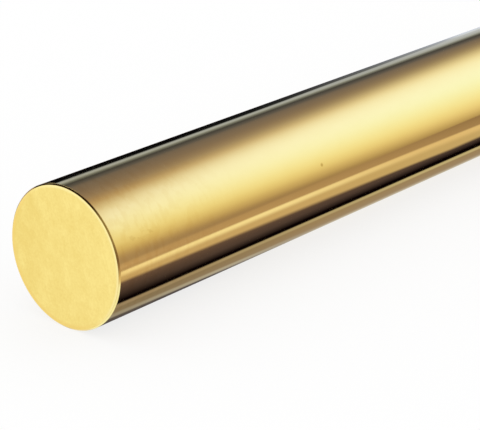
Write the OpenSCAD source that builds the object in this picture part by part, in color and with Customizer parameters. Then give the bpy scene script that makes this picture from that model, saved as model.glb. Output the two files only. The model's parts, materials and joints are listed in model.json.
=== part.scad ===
// Brass round bar: one solid length of drawn stock, cut square at both ends and lying on its side.
// X runs along the bar, Z is up, and the origin is on the ground under the middle of the bar.

/* [Bar] */
// Diameter of the drawn bar
bar_d = 50; // [10:1:100]
// Length from one cut face to the other
bar_len = 1000; // [200:50:3000]

/* [Cut ends] */
// How far the chamfer that breaks the sharp edge runs along the bar
chamfer_len = 0.5; // [0.1:0.1:2]
// Slope of that chamfer, measured from the bar's side
chamfer_angle = 45; // [30:5:60]

/* [Hidden] */

// Flats in a drawn circle
round_sides = 180;
brass = [0.86, 0.69, 0.35];

bar_r = bar_d / 2;
chamfer_depth = chamfer_len * tan(chamfer_angle);
cut_face_r = bar_r - chamfer_depth;
side_len = bar_len - 2 * chamfer_len;

// Half of the lengthwise section: radius across, length upwards, centred on the middle of the bar
module half_section() {
    polygon([
        [0, -bar_len / 2],
        [cut_face_r, -bar_len / 2],
        [bar_r, -side_len / 2],
        [bar_r, side_len / 2],
        [cut_face_r, bar_len / 2],
        [0, bar_len / 2]
    ]);
}

// The section turned about its centre line, laid down along X and rested on the ground
module round_bar() {
    color(brass)
        translate([0, 0, bar_r])
            rotate([0, 90, 0])
                rotate_extrude($fn = round_sides)
                    half_section();
}

round_bar();
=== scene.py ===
# %% [markdown]
# # A brass round bar
# One solid piece of round brass stock, one metre long and fifty millimetres thick, lying on its side.
# Its side is polished like a mirror and its two cut ends are satin. Polished metal has hardly any look
# of its own, so half of this lesson is the metal and the other half is the little studio it reflects.

# %% Load the measured bar
import json
import math

import bmesh
import bpy
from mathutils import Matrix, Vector


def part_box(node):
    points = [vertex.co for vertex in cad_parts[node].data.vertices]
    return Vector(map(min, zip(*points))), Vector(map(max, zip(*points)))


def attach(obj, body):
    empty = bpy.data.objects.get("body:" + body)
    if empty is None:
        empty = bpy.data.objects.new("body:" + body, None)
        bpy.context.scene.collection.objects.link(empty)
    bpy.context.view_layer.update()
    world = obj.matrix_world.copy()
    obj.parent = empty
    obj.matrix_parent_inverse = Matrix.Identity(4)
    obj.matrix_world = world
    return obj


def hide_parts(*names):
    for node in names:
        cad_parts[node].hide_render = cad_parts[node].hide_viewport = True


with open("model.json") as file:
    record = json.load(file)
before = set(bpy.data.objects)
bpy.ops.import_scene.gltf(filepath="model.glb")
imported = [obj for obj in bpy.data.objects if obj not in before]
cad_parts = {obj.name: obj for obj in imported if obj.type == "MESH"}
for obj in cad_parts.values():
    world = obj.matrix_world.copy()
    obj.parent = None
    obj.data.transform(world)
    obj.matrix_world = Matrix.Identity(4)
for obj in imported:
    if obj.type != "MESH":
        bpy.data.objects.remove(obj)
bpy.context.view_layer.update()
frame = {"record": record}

# %% [markdown]
# ## Sizes
# Nothing is guessed twice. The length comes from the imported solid. The radius and the straight length
# between the chamfers come from the mount along the side, because the solid's facets are a hair
# smaller than the true circle.

# %% Read the bar's sizes
MM = 0.001
low_corner, high_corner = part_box("round_bar")
bar_length = high_corner.x - low_corner.x
side_mount = next(m for m in frame["record"]["mounts"] if m["name"] == "side")["dims"]
bar_radius = side_mount["r_mm"] * MM
chamfer = (bar_length - side_mount["length_mm"] * MM) / 2
half_length = bar_length / 2
print("length", bar_length, "radius", bar_radius, "chamfer", round(chamfer, 6))

# %% [markdown]
# ## Camera
# The bar was photographed from the left front, a little above, with a long lens. Its near end fills the
# lower left and the rest runs out of the picture at the right. The camera goes in first, because
# every reflection below is judged through it.

# %% Place the camera
camera_place = (-0.87886, -0.39877, 0.24998)
camera_drop = 21.005
camera_turn = 49.485
lens_mm = 136.92
sensor_mm = 36
bpy.ops.object.select_all(action="DESELECT")
bpy.ops.object.camera_add(location=camera_place)
camera = bpy.context.object
camera.name = "long_lens_camera"
camera.rotation_euler = (math.radians(90 - camera_drop), 0, math.radians(-camera_turn))
camera.data.sensor_width = sensor_mm
camera.data.lens = lens_mm
camera.data.clip_start = 10 * MM
bpy.context.scene.camera = camera
print("camera at", camera_place, "looking down", camera_drop, "degrees")

# %% [markdown]
# ## Selecting by place
# In edit mode every operator works on what is selected. A modeller clicks on an edge loop; a script has
# to say where it is. This helper first clears the selection, then picks the edges or faces whose
# middle passes a test. The two small functions below it are what most tests ask: how far a point is
# from the bar's centre line, and whether two lengths agree to a hundredth of a millimetre.

# %% A helper that selects by place
def select_where(piece, kind, belongs):
    bpy.ops.mesh.select_mode(type=kind)
    bpy.ops.mesh.select_all(action="DESELECT")
    shape = bmesh.from_edit_mesh(piece.data)
    parts = shape.edges if kind == "EDGE" else shape.faces
    count = 0
    for part in parts:
        middle = sum((corner.co for corner in part.verts), Vector()) / len(part.verts)
        chosen = belongs(middle)
        part.select_set(chosen)
        count += chosen
    bmesh.update_edit_mesh(piece.data)
    return count


def from_centre_line(point):
    return math.hypot(point.y, point.z - bar_radius)


def near(value, target):
    return abs(value - target) < 0.01 * MM


print("selecting by place is ready")

# %% [markdown]
# ## The bar itself
# Bar stock is drawn through a die, so its side is a true cylinder, and then it is sawn and faced. A
# cylinder is the right start, but a real end is not a razor edge: it has a small chamfer, the corners
# of that chamfer are slightly rounded, and the cut face rolls off a few hundredths of a millimetre
# towards its rim where the polisher touched it. The cylinder starts shorter by that roll-off and the
# insets bring it back to full length. It has enough sides for its outline to look round up close.

# %% Add the cylinder
side_count = 256
rim_steps = [(0.5 * MM, 0.03 * MM), (0.6 * MM, 0.02 * MM), (0.9 * MM, 0.01 * MM)]
roll_off = sum(depth for width, depth in rim_steps)
start_half = half_length - roll_off
bpy.ops.object.select_all(action="DESELECT")
bpy.ops.mesh.primitive_cylinder_add(
    vertices=side_count, radius=bar_radius, depth=2 * start_half,
    location=(0, 0, bar_radius), rotation=(0, math.radians(90), 0))
bar = bpy.context.object
bar.name = "polished_bar"
bpy.ops.object.transform_apply(location=True, rotation=True, scale=True)
print("started with", len(bar.data.polygons), "faces")

# %% [markdown]
# ## Chamfer and corners
# The first bevel cuts the chamfer at both rims. The second rounds its two corners, which is what makes
# a bright or dark hairline run round the end of a real bar.

# %% Bevel both rims
corner_round = 0.04 * MM
bpy.ops.object.mode_set(mode="EDIT")
found = select_where(bar, "EDGE", lambda p: near(abs(p.x), start_half))
print("rim edges", found)
bpy.ops.mesh.bevel(offset=chamfer, offset_type="OFFSET", segments=1, affect="EDGES")


def on_chamfer_corner(p):
    outer = near(from_centre_line(p), bar_radius) and near(abs(p.x), start_half - chamfer)
    inner = near(from_centre_line(p), bar_radius - chamfer) and near(abs(p.x), start_half)
    return outer or inner


found = select_where(bar, "EDGE", on_chamfer_corner)
print("chamfer corner edges", found)
bpy.ops.mesh.bevel(offset=corner_round, offset_type="OFFSET", segments=3, affect="EDGES")

# %% [markdown]
# ## The cut faces
# Each inset makes a narrower ring that stands a little prouder than the last, so the face is very
# slightly domed near its rim. The next rings lie flat and keep the shading of the middle flat too, and
# poke closes each face with a fan of triangles round its middle.

# %% Inset the cut faces
flat_rings = (0.3 * MM, 5 * MM, 9 * MM)


def on_cut_face(p):
    return near(abs(p.x), start_half) and from_centre_line(p) < bar_radius / 2


found = select_where(bar, "FACE", on_cut_face)
for width, depth in rim_steps:
    bpy.ops.mesh.inset(thickness=width, depth=depth)
for width in flat_rings:
    bpy.ops.mesh.inset(thickness=width, depth=0)
bpy.ops.mesh.poke()
print("cut faces", found, "with", len(rim_steps) + len(flat_rings), "rings each")

# %% [markdown]
# ## Loops along the side
# Smooth shading blends the direction of a face with its neighbours. Two loops on the chamfer keep it
# flat between its rounded corners, two loops close to each end stop it from bending the reflections
# on the side, and a loop every fifty millimetres keeps the faces from being a metre long and half a
# millimetre wide. Bisect skips a cut that lies within its threshold of an old edge, and the usual
# threshold is a tenth of a millimetre, which would swallow the loops at the chamfer, so it is lowered.

# %% Cut the loops
corner_margin = 1.8 * corner_round
end_margins = (0.12 * MM, 1.5 * MM)
loop_gap = 50 * MM
cut_threshold = 0.001 * MM
side_end = start_half - chamfer
cuts = [start_half - corner_margin, side_end + corner_margin]
cuts += [side_end - margin for margin in end_margins]
cuts += [number * loop_gap for number in range(1, 10)]
for cut_at in [0] + cuts + [-cut for cut in cuts]:
    bpy.ops.mesh.select_all(action="SELECT")
    bpy.ops.mesh.bisect(plane_co=(cut_at, 0, bar_radius), plane_no=(1, 0, 0), threshold=cut_threshold)
bpy.ops.object.mode_set(mode="OBJECT")
bpy.ops.object.shade_smooth()
print("bar has", len(bar.data.polygons), "faces, size", [round(v, 5) for v in bar.dimensions])

# %% [markdown]
# ## Writing finishes as sums
# A finish is a tree of nodes. Dragging wires is quick for five nodes and hopeless for fifty, so this
# small class wraps one socket and lets Python's own signs add the Math nodes. Colours go through Mix
# nodes, because a Math node would turn them grey: paint lays one colour over another by a mask, and
# stain multiplies by it instead. A Mix node has sockets for every kind of data, and its colours are
# inputs 6 and 7 and output 2. Most masks are soft steps: rise goes smoothly from 0 to 1 between two
# values, fall goes from 1 to 0, and climb is a straight ramp.

# %% The wire class
def opaque(colour):
    return (colour[0], colour[1], colour[2], 1.0)


class Wire:
    def __init__(self, tree, socket=None):
        self.tree = tree
        self.socket = socket

    def node(self, kind, settings=None, inputs=None, output=0):
        made = self.tree.nodes.new("ShaderNode" + kind)
        for name, value in (settings or {}).items():
            if name == "stops":
                self.set_stops(made.color_ramp, value)
            else:
                setattr(made, name, value)
        for name, value in (inputs or {}).items():
            if isinstance(value, Wire):
                self.tree.links.new(value.socket, made.inputs[name])
            elif isinstance(value, tuple) and made.inputs[name].type == "RGBA":
                made.inputs[name].default_value = opaque(value)
            else:
                made.inputs[name].default_value = value
        result = made.outputs[output] if made.outputs else None
        return Wire(self.tree, result)

    def set_stops(self, ramp, stops):
        while len(ramp.elements) < len(stops):
            ramp.elements.new(1.0)
        for element, (place, colour) in zip(ramp.elements, stops):
            element.position = place
            element.color = opaque(colour)

    def math(self, operation, *others):
        sockets = {0: self}
        for number, other in enumerate(others, 1):
            sockets[number] = other
        return self.node("Math", {"operation": operation}, sockets)

    def reversed_math(self, operation, first):
        return self.node("Math", {"operation": operation}, {0: first, 1: self})

    def __add__(self, other):
        return self.math("ADD", other)

    def __sub__(self, other):
        return self.math("SUBTRACT", other)

    def __mul__(self, other):
        return self.math("MULTIPLY", other)

    def __truediv__(self, other):
        return self.math("DIVIDE", other)

    def __radd__(self, other):
        return self.reversed_math("ADD", other)

    def __rsub__(self, other):
        return self.reversed_math("SUBTRACT", other)

    def __rmul__(self, other):
        return self.reversed_math("MULTIPLY", other)

    def __rtruediv__(self, other):
        return self.reversed_math("DIVIDE", other)

    def __abs__(self):
        return self.math("ABSOLUTE")

    def rise(self, start, end):
        sockets = {"Value": self, "From Min": start, "From Max": end}
        return self.node("MapRange", {"interpolation_type": "SMOOTHSTEP"}, sockets)

    def fall(self, start, end):
        return 1 - self.rise(start, end)

    def climb(self, start, end):
        return self.node("MapRange", None, {"Value": self, "From Min": start, "From Max": end})

    def within(self, lowest, highest):
        return self.math("MAXIMUM", lowest).math("MINIMUM", highest)

    def split(self):
        parts = self.node("SeparateXYZ", None, {0: self}).socket.node.outputs
        return [Wire(self.tree, part) for part in parts]

    def paint(self, under, over):
        settings = {"data_type": "RGBA"}
        return self.node("Mix", settings, {0: self, 6: under, 7: over}, 2)

    def stain(self, under, dye):
        settings = {"data_type": "RGBA", "blend_type": "MULTIPLY"}
        return self.node("Mix", settings, {0: self, 6: under, 7: dye}, 2)


def new_finish(name):
    finish = bpy.data.materials.new(name)
    finish.use_nodes = True
    finish.node_tree.nodes.clear()
    return finish, Wire(finish.node_tree)


print("wires ready")

# %% [markdown]
# ## The polished side
# Brass is copper and zinc, and its colour lives in its reflection, so the shader is fully metallic and
# the base colour is the tint of a mirror. The three tints are clean metal, metal under a thin haze and
# metal that has been smeared. A bar is taken hold of and clamped at its ends, so most of its history
# is there: the mask called handled is 1 at both ends and fades out 75 mm along. It could be painted
# by hand, but a mask made from the distance to the end needs no painting and no unwrapping.

# %% Polished brass
BRASS = (0.905, 0.725, 0.295)
BRASS_WARM = (0.88, 0.69, 0.26)
BRASS_HANDLED = (0.868, 0.674, 0.257)
polished, wire = new_finish("polished_brass")
place = wire.node("TexCoord", output="Object")
along = place.split()[0]
to_end = half_length - abs(along)
handled = to_end.fall(4 * MM, 75 * MM)
print("the handled ends are masked, nodes so far", len(polished.node_tree.nodes))

# %% [markdown]
# ## What drawing and polishing leave
# The polishing wheel leaves very fine rings round the bar, and the die leaves long lines along it. Over
# both lie cloudy haze and short smears. All four are the same noise, squeezed by a Mapping node: a
# large number squeezes the pattern in that direction, so the rings have their large number along the
# bar and the draw marks have theirs across it.

# %% Polishing rings, draw marks, haze and smears
def squeezed_noise(place, squeeze, detail):
    squeezed = place.node("Mapping", None, {"Vector": place, "Scale": squeeze})
    return place.node("TexNoise", None, {"Vector": squeezed, "Scale": 1.0, "Detail": detail})


rings = squeezed_noise(place, (2600, 45, 45), 2.0)
draws = squeezed_noise(place, (4, 700, 700), 3.0)
clouds = squeezed_noise(place, (140, 260, 260), 4.0)
smears = squeezed_noise(place, (420, 240, 240), 2.0)
haze = clouds.rise(0.35, 0.75) * handled
print("four layers of noise, nodes so far", len(polished.node_tree.nodes))

# %% [markdown]
# ## Pits and a rubbed mark
# Bright stock is seldom perfect. It has a few pits, and marks where something rubbed along it. A
# Voronoi texture gives the distance to the nearest of many scattered points, so a small spot round
# each of them makes a pit. One pit and one mark have measured places on the side that faces the
# camera. That pit is a soft spot round a single point. The mark is a ball stretched along the bar,
# broken up by fine noise so that it looks rubbed and not printed.

# %% Pits and a rubbed mark
def on_side(from_end, degrees_up):
    up = math.radians(degrees_up)
    return (-half_length + from_end, -bar_radius * math.cos(up), bar_radius + bar_radius * math.sin(up))


pit_place = on_side(105.3 * MM, 21.3)
mark_place = on_side(12.5 * MM, 24.2)
mark_size = (10 * MM, 1.3 * MM, 1.3 * MM)
pit_field = wire.node("TexVoronoi", None, {"Vector": place, "Scale": 41.0, "Randomness": 1.0})
scattered_pits = pit_field.fall(0.010, 0.018) * 0.7
pit_distance = wire.node("VectorMath", {"operation": "DISTANCE"}, {0: place, 1: pit_place}, 1)
one_pit = pit_distance.fall(0.2 * MM, 1.0 * MM) * 0.75
pits = scattered_pits.math("MAXIMUM", one_pit)
round_mark = wire.node("Mapping", {"vector_type": "TEXTURE"}, {
    "Vector": place, "Location": mark_place, "Scale": mark_size})
mark_distance = wire.node("VectorMath", {"operation": "LENGTH"}, {0: round_mark}, 1)
mark_grain = wire.node("TexNoise", None, {"Vector": place, "Scale": 520.0, "Detail": 1.0})
mark = mark_distance.fall(0.5, 1.0) * mark_grain.rise(0.46, 0.62)
print("pit at", [round(v, 4) for v in pit_place], "mark at", [round(v, 4) for v in mark_place])

# %% [markdown]
# ## Join the polished finish
# Haze, smears, pits and the mark change the tint. Draw marks, haze and pits dull the mirror a little.
# Rings, draw marks and pits are a relief of a few thousandths of a millimetre at most, which is too
# small to see and still bends the edges of the reflections. The last lines are the same for both
# finishes, so they are a helper: bump, metal and output.

# %% Join the polished finish
DIRT_IN_PITS = (0.50, 0.32, 0.07)
polish_depth = 0.0006 * MM


def join_metal(wire, tint, roughness, relief, depth):
    bumped = wire.node("Bump", None, {"Height": relief, "Distance": depth, "Strength": 1.0})
    metal = wire.node("BsdfPrincipled", None, {
        "Base Color": tint, "Metallic": 1.0, "Roughness": roughness, "Normal": bumped})
    wire.node("OutputMaterial", None, {"Surface": metal})


tint = (clouds.rise(0.3, 0.8) * 0.25 + haze * 0.5).paint(BRASS, BRASS_WARM)
tint = (smears.rise(0.45, 0.65) * handled).paint(tint, BRASS_HANDLED)
tint = (pits * 0.9 + mark * 0.20).paint(tint, DIRT_IN_PITS)
roughness = 0.05 + draws * 0.03 + haze * 0.04 + pits * 0.08
relief = rings * (0.35 + handled * 0.5) + draws * 6 - pits * 2
join_metal(wire, tint, roughness, relief, polish_depth)
print("polished brass has", len(polished.node_tree.nodes), "nodes")

# %% [markdown]
# ## The cut face
# The end is sawn and then rubbed flat, so light scatters softly and the colour deepens, because it
# bounces more than once between fine scratches. The scratches run nearly upright, leaning a little.
# A Mapping node of the Texture kind puts the middle of the pattern on the bar's centre line and leans
# it, so that one of its axes lies across the scratches and the other runs up along them.

# %% Satin brass
SATIN_LIGHT = (0.985, 0.81, 0.293)
SATIN_DEEP = (0.885, 0.685, 0.207)
# the last two tints are painted shade and a painted highlight on the rim of the face
RIM_SHADE_TINT = (0.90, 0.655, 0.19)
RIM_HIGHLIGHT_TINT = (0.99, 0.86, 0.40)
scratch_lean = math.radians(18.4)
satin, wire = new_finish("satin_brass")
place = wire.node("TexCoord", output="Object")
flat_place = wire.node("Mapping", {"vector_type": "TEXTURE"}, {
    "Vector": place, "Location": (0, 0, bar_radius), "Rotation": (-scratch_lean, 0, 0)})
across, up = flat_place.split()[1:]
radius = (across * across + up * up).math("SQRT") / bar_radius
print("the face is measured from its middle, nodes so far", len(satin.node_tree.nodes))

# %% [markdown]
# ## Scratches, mottling and fine grain
# The scratches are noise squeezed hard across and little along. They come in patches where the
# abrasive bit harder, and between them the metal has a fine even grain. The patches are broad noise,
# and the same patches say where the scratches show most.

# %% Scratches, mottling and fine grain
scratches = squeezed_noise(flat_place, (1, 1500, 120), 3.0)
patches = squeezed_noise(flat_place, (1, 320, 230), 3.0)
grain = wire.node("TexNoise", None, {"Vector": place, "Scale": 1100.0, "Detail": 3.0})
marked = patches.rise(0.42, 0.68)
print("three layers of noise, nodes so far", len(satin.node_tree.nodes))

# %% [markdown]
# ## The rim of the face
# The rim of the face carries painted light. Part of the rim is painted a little warmer and darker than
# the face as painted shade, and the part across from it is painted paler as a painted highlight. A ring
# is a soft step in the distance from the middle, and a slope across the face says which part of the ring
# is meant.

# %% The rim of the face
# a slope across the face that sets where the rim's painted shade and painted highlight lie
rim_light_slope = (across * 0.95 - up * 0.3) / bar_radius
# painted shade: a warmer, darker part of the rim
painted_rim_shade = radius.rise(0.90, 0.96) * rim_light_slope.rise(-0.2, 0.5)
# painted highlight: a paler part of the rim, across from the painted shade
painted_rim_highlight = radius.rise(0.93, 0.965) * rim_light_slope.fall(-0.5, 0.1)
print("two parts of the rim, nodes so far", len(satin.node_tree.nodes))

# %% [markdown]
# ## Join the satin finish
# One number, light, goes from deep to light satin. Patches, scratches and grain move it up and down
# round the middle, a slow slope paints shade on one side, and a spot near the rim is made darker. Then
# the rim's painted shade and painted highlight are painted over. The face is rough, a little less so at
# the rubbed rim, and its relief is about a hundredth of a millimetre deep.

# %% Join the satin finish
satin_depth = 0.012 * MM
# where the darker spot near the rim lies
dark_spot_across = across - 0.6 * bar_radius
dark_spot_up = up - 0.45 * bar_radius
dark_spot_distance = (dark_spot_across * dark_spot_across + dark_spot_up * dark_spot_up).math("SQRT") / bar_radius
light = 0.5 + (patches - 0.5) * 1.4 + (scratches - 0.5) * (0.3 + marked * 0.6) + (grain - 0.5) * 1.2
# painted shade: darker towards one side of the face
light = light - (across * 0.20 + up * 0.02) / bar_radius
# a spot near the rim is made darker
light = light - dark_spot_distance.fall(0.1, 0.6) * 0.22
tint = light.within(0.0, 1.0).paint(SATIN_DEEP, SATIN_LIGHT)
# the rim's painted shade and painted highlight go over the face's colour
tint = (painted_rim_shade * 0.8).paint(tint, RIM_SHADE_TINT)
tint = (painted_rim_highlight * 0.8).paint(tint, RIM_HIGHLIGHT_TINT)
roughness = 0.40 + scratches * 0.07 - radius.rise(0.94, 0.98) * 0.10
relief = scratches * (0.3 + marked) + grain * 0.35
join_metal(wire, tint, roughness, relief, satin_depth)
print("satin brass has", len(satin.node_tree.nodes), "nodes")

# %% [markdown]
# ## Two finishes on one piece
# The bar is one solid, so it is one object with two material slots. The satin goes on the faces that
# the insets pushed out past the first flat end, and the side and the chamfers keep the polish.

# %% Put the finishes on the bar
just_past_end = start_half + 0.001 * MM
bar.data.materials.append(polished)
bar.data.materials.append(satin)
bpy.ops.object.mode_set(mode="EDIT")
found = select_where(bar, "FACE", lambda p: abs(p.x) > just_past_end)
bar.active_material_index = 1
bpy.ops.object.material_slot_assign()
bpy.ops.object.mode_set(mode="OBJECT")
print("satin faces", found)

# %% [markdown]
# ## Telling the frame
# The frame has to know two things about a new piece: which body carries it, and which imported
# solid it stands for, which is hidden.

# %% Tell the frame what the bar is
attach(bar, "root")
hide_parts("round_bar")
print(bar.name, "rides on root and stands for round_bar")

# %% [markdown]
# ## Floor
# A plain white sheet. Most of its white is its own, so it stays white under any light, and the
# rest is lit, which is the part that carries the soft shadow under the bar. Mirrors don't see this
# sheet: they see the studio cards that come next.

# %% White floor
floor_side = 24
lit_share = 0.20
own_share = 1 - lit_share
bpy.ops.object.select_all(action="DESELECT")
bpy.ops.mesh.primitive_plane_add(size=floor_side, location=(0, 0, 0))
floor = bpy.context.object
floor.name = "white_floor"
floor.visible_glossy = False
paper, wire = new_finish("white_paper")
paper.cycles.emission_sampling = "NONE"
glow = wire.node("Emission", None, {"Color": (own_share, own_share, own_share)})
lit = wire.node("BsdfDiffuse", None, {"Color": (lit_share, lit_share, lit_share)})
both = wire.node("AddShader", None, {0: glow, 1: lit})
wire.node("OutputMaterial", None, {"Surface": both})
floor.data.materials.append(paper)
print("floor", floor_side, "m square, share that is lit", lit_share)

# %% [markdown]
# ## Cards on the table
# Low on its side the bar mirrors what lies right beside it, so those strips need a real place: grey
# shade under the bar, then black card, then a warm strip with a bright edge. Painted on a sky they
# would stay still when the camera moves, and on the table they shift as they should. Only mirrors see
# them. The sheet lies a hair under the floor and ends just before the bar does.

# %% Lay the cards
card_reach = 0.14
card_drop = 0.05 * MM
card_half = half_length - 1.5 * MM
bpy.ops.object.select_all(action="DESELECT")
bpy.ops.mesh.primitive_plane_add(size=1, location=(0, 0, -card_drop))
cards = bpy.context.object
cards.name = "table_cards"
cards.scale = (2 * card_half, 2 * card_reach, 1)
bpy.ops.object.transform_apply(location=True, rotation=True, scale=True)
cards.visible_camera = False
cards.visible_diffuse = False
cards.visible_shadow = False
cards.visible_transmission = False
print("cards reach", card_reach, "m to each side")

# %% [markdown]
# ## Where the strips lie
# Two numbers place everything on the table, both in millimetres: how far beside the bar's line of
# contact a point is, and how far along it is from the near end. The far side of the bar gets the same
# strips turned end for end. No strip is quite parallel to the bar, so each edge is a distance beside
# it that shifts slowly along it. The photographed part ends before 340 mm, and what is known there
# simply goes on to the far end.

# %% Mark out the strips
MM_IN_A_METRE = 1000
last_known_mm = 340.0
card, wire = new_finish("table_strips")
card.cycles.emission_sampling = "NONE"
place = wire.node("TexCoord", output="Object")
x, y = place.split()[:2]
beside = abs(y) * MM_IN_A_METRE
along = (half_length - x * y.math("SIGN")) * MM_IN_A_METRE
along = along.math("MINIMUM", last_known_mm)
contact_edge = (15.3 - along * 0.043).math("MAXIMUM", 11.5)
pale_start = 22.6 - along * 0.0065
shade_edge = 25.2 - along * 0.0052 + along.fall(0, 30) * 0.35
black_edge = (56.2 - along * 0.093).math("MAXIMUM", 36.2)
warm_edge = (87 + along * 0.022 - along * along * 0.0004).math("MAXIMUM", 50.0)
print("five edges marked out, nodes so far", len(card.node_tree.nodes))

# %% [markdown]
# ## Shade under the bar
# Beneath the bar the table lies in its shade, which is lighter and warmer away from the near end, with
# a paler border on its outer side. Where the bar nearly touches the table there is a line that is
# black at the near end and pale further along, and near the end a grey line runs beside it.

# %% Shade under the bar
SHADE_NEAR = (0.27, 0.23, 0.22)
SHADE_FAR = (0.36, 0.285, 0.23)
BORDER_NEAR = (0.34, 0.28, 0.30)
BORDER_FAR = (0.57, 0.53, 0.43)
GREY_NEAR = (0.33, 0.32, 0.36)
GREY_FAR = (0.46, 0.44, 0.44)
CONTACT_NEAR = (0.10, 0.09, 0.10)
CONTACT_FAR = (0.68, 0.65, 0.58)
far_along = along.rise(50, 145)
near_end = along.fall(75, 130)
under_bar = along.climb(30, 120).paint(SHADE_NEAR, SHADE_FAR)
border = along.climb(0, 190).paint(BORDER_NEAR, BORDER_FAR)
under_bar = (beside - pale_start).rise(-0.75, 0.75).paint(under_bar, border)
grey_line = (beside - contact_edge).fall(2.5, 4.5) * near_end
under_bar = grey_line.paint(under_bar, along.climb(0, 60).paint(GREY_NEAR, GREY_FAR))
contact_tone = far_along.paint(CONTACT_NEAR, CONTACT_FAR)
softness = 1.2 + far_along * 2.8
contact = ((beside - contact_edge) / softness).fall(-1.0, 1.0)
under_bar = contact.paint(under_bar, contact_tone)
print("the shade is mixed, nodes so far", len(card.node_tree.nodes))

# %% [markdown]
# ## Colours of the strips
# The black card is not one black: it is blackest next to the shade and browner further out. The warm
# strip, its bright edge and the tan table beyond them each change slowly along the bar. Every mix
# below is a ramp or a soft step, along the bar or away from it.

# %% Colours of the strips
BLACKEST = (0.002, 0.0005, 0.001)
BLACK_NEAR = (0.054, 0.038, 0.055)
BLACK_FAR = (0.085, 0.062, 0.09)
BLACK_OUTER = (0.155, 0.105, 0.135)
WARM_NEAR = (0.64, 0.50, 0.40)
WARM_FAR = (0.62, 0.50, 0.38)
BRIGHT_NEAR = (1.0, 0.875, 0.755)
BRIGHT_MIDDLE = (1.02, 0.97, 0.89)
BRIGHT_FAR = (0.82, 0.665, 0.53)
TAN_NEAR = (0.53, 0.385, 0.31)
TAN_FAR = (0.34, 0.243, 0.195)
TAN_OUTER = (0.61, 0.445, 0.365)
black_middle = along.rise(10, 70).paint(BLACK_NEAR, BLACK_FAR)
black = beside.climb(27.8, 35.0).paint(BLACKEST, black_middle)
black = beside.climb(35.0, 50.0).paint(black, BLACK_OUTER)
warm = along.rise(90, 200).paint(WARM_NEAR, WARM_FAR)
bright = along.rise(20, 100).paint(BRIGHT_NEAR, BRIGHT_MIDDLE)
bright = along.rise(120, 240).paint(bright, BRIGHT_FAR)
tan = along.climb(130, 340).paint(TAN_NEAR, TAN_FAR)
outer_tan = beside.rise(98, 116) * along.fall(70, 130)
tan = outer_tan.paint(tan, TAN_OUTER)
print("four strips are mixed, nodes so far", len(card.node_tree.nodes))

# %% [markdown]
# ## Join the strips
# Each line paints the next strip over the last from its edge outwards, as one would with a brush, so
# the order of the lines is the order on the table. The black card's edge gets sharper along the bar,
# and the bright edge starts wider there.

# %% Join the strips
black_blur = 4.5 - along.rise(120, 200) * 2.0
bright_start = -15 - along.rise(0, 50) * 12
strips = (beside - shade_edge).rise(-0.6, 0.8).paint(under_bar, black)
strips = ((beside - black_edge) / black_blur).rise(-1.0, 0.9).paint(strips, warm)
strips = (beside - warm_edge).rise(bright_start, -10.0).paint(strips, bright)
strips = (beside - warm_edge).rise(-5.0, 5.0).paint(strips, tan)
shine = wire.node("Emission", None, {"Color": strips})
wire.node("OutputMaterial", None, {"Surface": shine})
cards.data.materials.append(card)
print("the cards have", len(card.node_tree.nodes), "nodes")

# %% [markdown]
# ## The studio round the bar
# The bar was lit by one big round soft light, to the right of the camera's view and a little above the
# bar, in a room with brown walls that get darker behind the bar, a pale line near the horizon and black
# below it. Real lamps and walls would do, but a painted world is quicker to set and leaves no noise. A
# long straight mirror shows the room as bands along it, so each direction gets an angle round the bar:
# 0 is level in front, 90 straight up, 180 level behind and 270 straight down. Directions that run along
# the bar the other way see the same room turned round, so that the bar is lit as well from behind, and
# directions nearly square to the bar see the front of the room on both sides.

# %% The room's walls
world = bpy.data.worlds.new("soft_studio")
bpy.context.scene.world = world
world.use_nodes = True
world.node_tree.nodes.clear()
world.cycles.sampling_method = "NONE"
wire = Wire(world.node_tree)
aim = wire.node("TexCoord", output="Generated")
x, y, z = aim.split()
side_on = abs(x).fall(0.25, 0.5)
turned = y * x.math("SIGN") * (1 - side_on) - abs(y) * side_on
angle = turned.math("MULTIPLY", -1.0).math("ARCTAN2", z.math("MULTIPLY", -1.0))
circle = (angle / (2 * math.pi) + 1).math("FRACT")


def at(degrees_round):
    return (degrees_round + 90) / 360


wall_stops = [
    (at(-90), (0.42, 0.31, 0.27)), (at(72), (0.42, 0.31, 0.27)),
    (at(92), (0.38, 0.24, 0.19)), (at(105), (0.30, 0.235, 0.276)),
    (at(120), (0.236, 0.194, 0.24)), (at(133), (0.198, 0.172, 0.222)),
    (at(137), (0.172, 0.154, 0.205)), (at(141), (0.118, 0.119, 0.175)), (at(149.5), (0.058, 0.062, 0.090)),
    (at(155.5), (0.215, 0.245, 0.32)), (at(160.5), (0.42, 0.49, 0.69)),
    (at(205), (0.40, 0.45, 0.60)), (at(230), (0.36, 0.27, 0.22))]
walls = wire.node("ValToRGB", {"stops": wall_stops}, {0: circle})
print("the walls have", len(wall_stops), "tones")

# %% [markdown]
# ## Shade the walls
# The bands aren't the same all along the bar, so the walls also change with how far a direction runs
# along it, which is its x. In front the wall is tan low down and darker towards the far end. Behind,
# the pale line gets brighter and its lower limit sinks towards the far end. Beyond that limit it is
# black near by and paler further off, which is the dark line along the bar's top that fades away.

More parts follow.
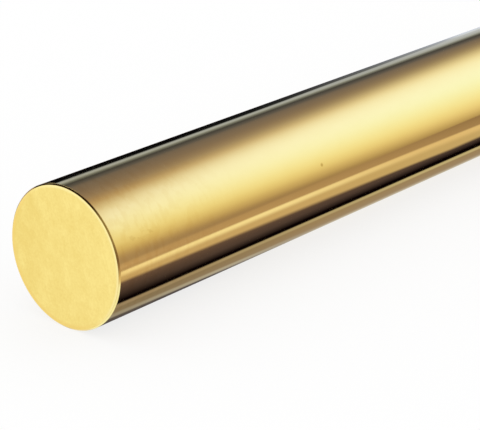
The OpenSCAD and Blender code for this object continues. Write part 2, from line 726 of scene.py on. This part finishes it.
# %% Shade the walls
TAN_LOW = (0.60, 0.44, 0.355)
DARKER_AHEAD = (0.53, 0.48, 0.52)
BRIGHTER_LINE = (1.2, 1.2, 1.2)
in_front = circle.fall(at(70), at(90))
low_front = z.fall(-0.20, -0.12) * in_front
walls = low_front.paint(walls, TAN_LOW)
walls = (in_front * x.climb(0.66, 0.80)).stain(walls, DARKER_AHEAD)
behind_low = circle.fall(at(212), at(230))
far_line = x.climb(0.775, 0.80) * circle.rise(at(161), at(168)) * behind_low
walls = far_line.stain(walls, BRIGHTER_LINE)
line_limit = 167.0 + x.rise(0.73, 0.765) * 3.8 + x.climb(0.77, 0.80) * 5
beyond_line = ((circle * 360 - 90) - line_limit).rise(-2.5, 3.5) * behind_low
beyond_stops = [
    (0.0, (0.003, 0.003, 0.004)), (0.26, (0.008, 0.009, 0.012)), (0.40, (0.023, 0.026, 0.033)),
    (0.5, (0.055, 0.061, 0.079)), (0.68, (0.142, 0.16, 0.208)), (0.81, (0.265, 0.302, 0.395)),
    (0.90, (0.40, 0.455, 0.60)), (0.96, (0.66, 0.75, 0.97))]
beyond_tone = wire.node("ValToRGB", {"stops": beyond_stops}, {0: x.climb(0.70, 0.81)})
walls = beyond_line.paint(walls, beyond_tone)
print("beyond the pale line there are", len(beyond_stops), "tones")

# %% [markdown]
# ## The big round light
# A round light is a step in the angle between a direction and the light's middle. A smooth step stops
# dead at both ends, and light through a diffuser doesn't, so this step is a logistic curve with long
# soft tails. The light's heart is bluish and brighter than white, because brass takes most of the
# blue out of what it mirrors and a clean highlight needs some left. Lower down the light is dimmer and
# warmer, and a little wider at the near end.

# %% The big round light
light_edge = 29.9
light_fade = 3.5
LIGHT_RIM = (1.16, 0.94, 0.20)
LIGHT_HEART = (1.09, 1.51, 2.95)
LOW_DYE = (0.907, 0.744, 1.0)
YELLOW_DYE = (1.0, 1.0, 0.43)


def toward(azimuth, elevation):
    a = math.radians(azimuth)
    e = math.radians(elevation)
    return (math.cos(e) * math.cos(a), math.cos(e) * math.sin(a), math.sin(e))


def degrees_from(direction):
    closeness = aim.node("VectorMath", {"operation": "DOT_PRODUCT"}, {0: aim, 1: direction}, 1)
    return closeness.math("ARCCOSINE") * (180 / math.pi)


away = degrees_from(toward(-18.7, 18.9))
low = z.fall(0.2, 0.5)
key_edge = light_edge + x.fall(0.66, 0.72) * low * 0.9
key = 1 / (1 + ((away - key_edge) / light_fade).math("EXPONENT"))
key = key * (1 - away.rise(31.5, 38.0) * low * 0.75)
heart = (1 - away / 50).within(0.0, 0.8)
high = z.climb(0.0, 0.7)
key_colour = heart.paint(LIGHT_RIM, LIGHT_HEART)
key_colour = (1 - high).stain(key_colour, LOW_DYE)
key_colour = (1 - high * high).stain(key_colour, YELLOW_DYE)
room = key.paint(walls, key_colour)
print("the light is", 2 * light_edge, "degrees wide")

# %% [markdown]
# ## Lights for the other sides
# The rest of the room was never seen, so it is made up in the same manner, and placed so that the
# camera's own view doesn't change. Two pale lights past the near end stand for windows, and a panel
# overhead serves the views square to the bar. A light low down behind the near end is what the satin
# face scatters. Past the ends of the table the floor of the room is tan in front and white behind, and
# it is brightest past the far end, for the satin face there. That patch keeps to directions that are
# steeper or more lengthwise than any that the camera sees in the bar.

# %% Lights for the other sides
WINDOW = (1.0, 0.93, 0.68)
PANEL = (1.05, 1.03, 0.98)
FACE_LIGHT = (1.09, 1.12, 1.12)
FLOOR_FRONT = (0.70, 0.57, 0.43)
FLOOR_BACK = (0.95, 0.93, 0.88)
FLOOR_FAR = (1.45, 1.32, 1.10)


def hang_light(room, direction, core, rim, colour):
    return degrees_from(direction).fall(core, rim).paint(room, colour)


room = hang_light(room, toward(160.7, 14), 14, 38, WINDOW)
room = hang_light(room, toward(-139, 30), 12, 30, WINDOW)
panel = abs(x).fall(0.2, 0.36) * z.rise(0.25, 0.5) * z.fall(0.9, 0.97)
room = panel.paint(room, PANEL)
room = hang_light(room, (-0.71, 0.61, -0.36), 34, 58, FACE_LIGHT)
past_table = abs(x).rise(0.3, 0.55).math("MAXIMUM", z.fall(-0.75, -0.6))
room_floor = z.fall(-0.45, -0.28) * past_table
floor_tone = y.rise(-0.25, 0.15).paint(FLOOR_FRONT, FLOOR_BACK)
room = room_floor.paint(room, floor_tone)
steep = x.rise(0.65, 0.70) * z.fall(-0.44, -0.38)
lengthwise = x.rise(0.83, 0.87) * z.fall(-0.22, -0.04)
far_floor = steep.math("MAXIMUM", lengthwise) * y.rise(-0.45, -0.1)
room = far_floor.paint(room, FLOOR_FAR)
print("six more places lit, nodes so far", len(world.node_tree.nodes))

# %% [markdown]
# ## A curtain for the chamfer
# The chamfer is a cone, and what it mirrors towards the camera lies on a thin ring of the room, apart
# from all that the side and the face mirror. A curtain along that ring sets the fine line round the
# end on its own: black at the top, brown down the right side and pale below. It hangs only where the
# ring passes the near end, with a short tail to the back, and behind the bar it is drawn shut.

# %% A curtain for the chamfer
RING_MIDDLE = (0.896, -0.385, 0.221)
ring_place = -0.381
PALE_BELOW = (1.06, 1.18, 1.27)
SHUT_TONE = (0.02, 0.012, 0.008)
along_ring_axis = wire.node("VectorMath", {"operation": "DOT_PRODUCT"}, {0: aim, 1: RING_MIDDLE}, 1)
curtain = abs(along_ring_axis - ring_place).fall(0.08, 0.12)
tail = y.rise(0.80, 0.88) * z.rise(0.10, 0.16) * z.fall(0.42, 0.50)
hung = x.fall(-0.16, -0.13).math("MAXIMUM", tail).math("MAXIMUM", z.fall(-0.9, -0.8))
curtain_stops = [
    (0.30, (0.75, 0.62, 0.45)), (0.33, (0.60, 0.48, 0.36)), (0.40, (0.33, 0.22, 0.14)),
    (0.464, (0.20, 0.12, 0.07)), (0.608, (0.30, 0.22, 0.13)), (0.736, (0.32, 0.26, 0.15)),
    (0.835, (0.27, 0.21, 0.12))]
curtain_shade = wire.node("ValToRGB", {"stops": curtain_stops}, {0: z * 0.5 + 0.5})
curtain_shade = z.fall(-0.60, -0.40).paint(curtain_shade, PALE_BELOW)
shut = y.rise(-0.35, 0.0) * z.rise(-0.5, -0.2)
curtain_shade = shut.paint(curtain_shade, SHUT_TONE)
room = (curtain * hung).paint(room, curtain_shade)
print("the curtain has", len(curtain_stops), "tones")

# %% [markdown]
# ## Who sees what
# Only mirrors see the painted room. The camera sees white behind the bar, and matt surfaces are lit by
# the same plain white from all sides, so colours come out as they are written.

# %% Who sees what
WHITE = (1.0, 1.0, 1.0)
mirrored = wire.node("LightPath", output="Is Glossy Ray")
seen = mirrored.paint(WHITE, room)
background = wire.node("Background", None, {"Color": seen, "Strength": 1.0})
wire.node("OutputWorld", None, {"Surface": background})
print("the room has", len(world.node_tree.nodes), "nodes")

# %% [markdown]
# ## Plain colours
# Colours are shown plainly.

# %% Show colours plainly
bpy.context.scene.view_settings.view_transform = "Standard"
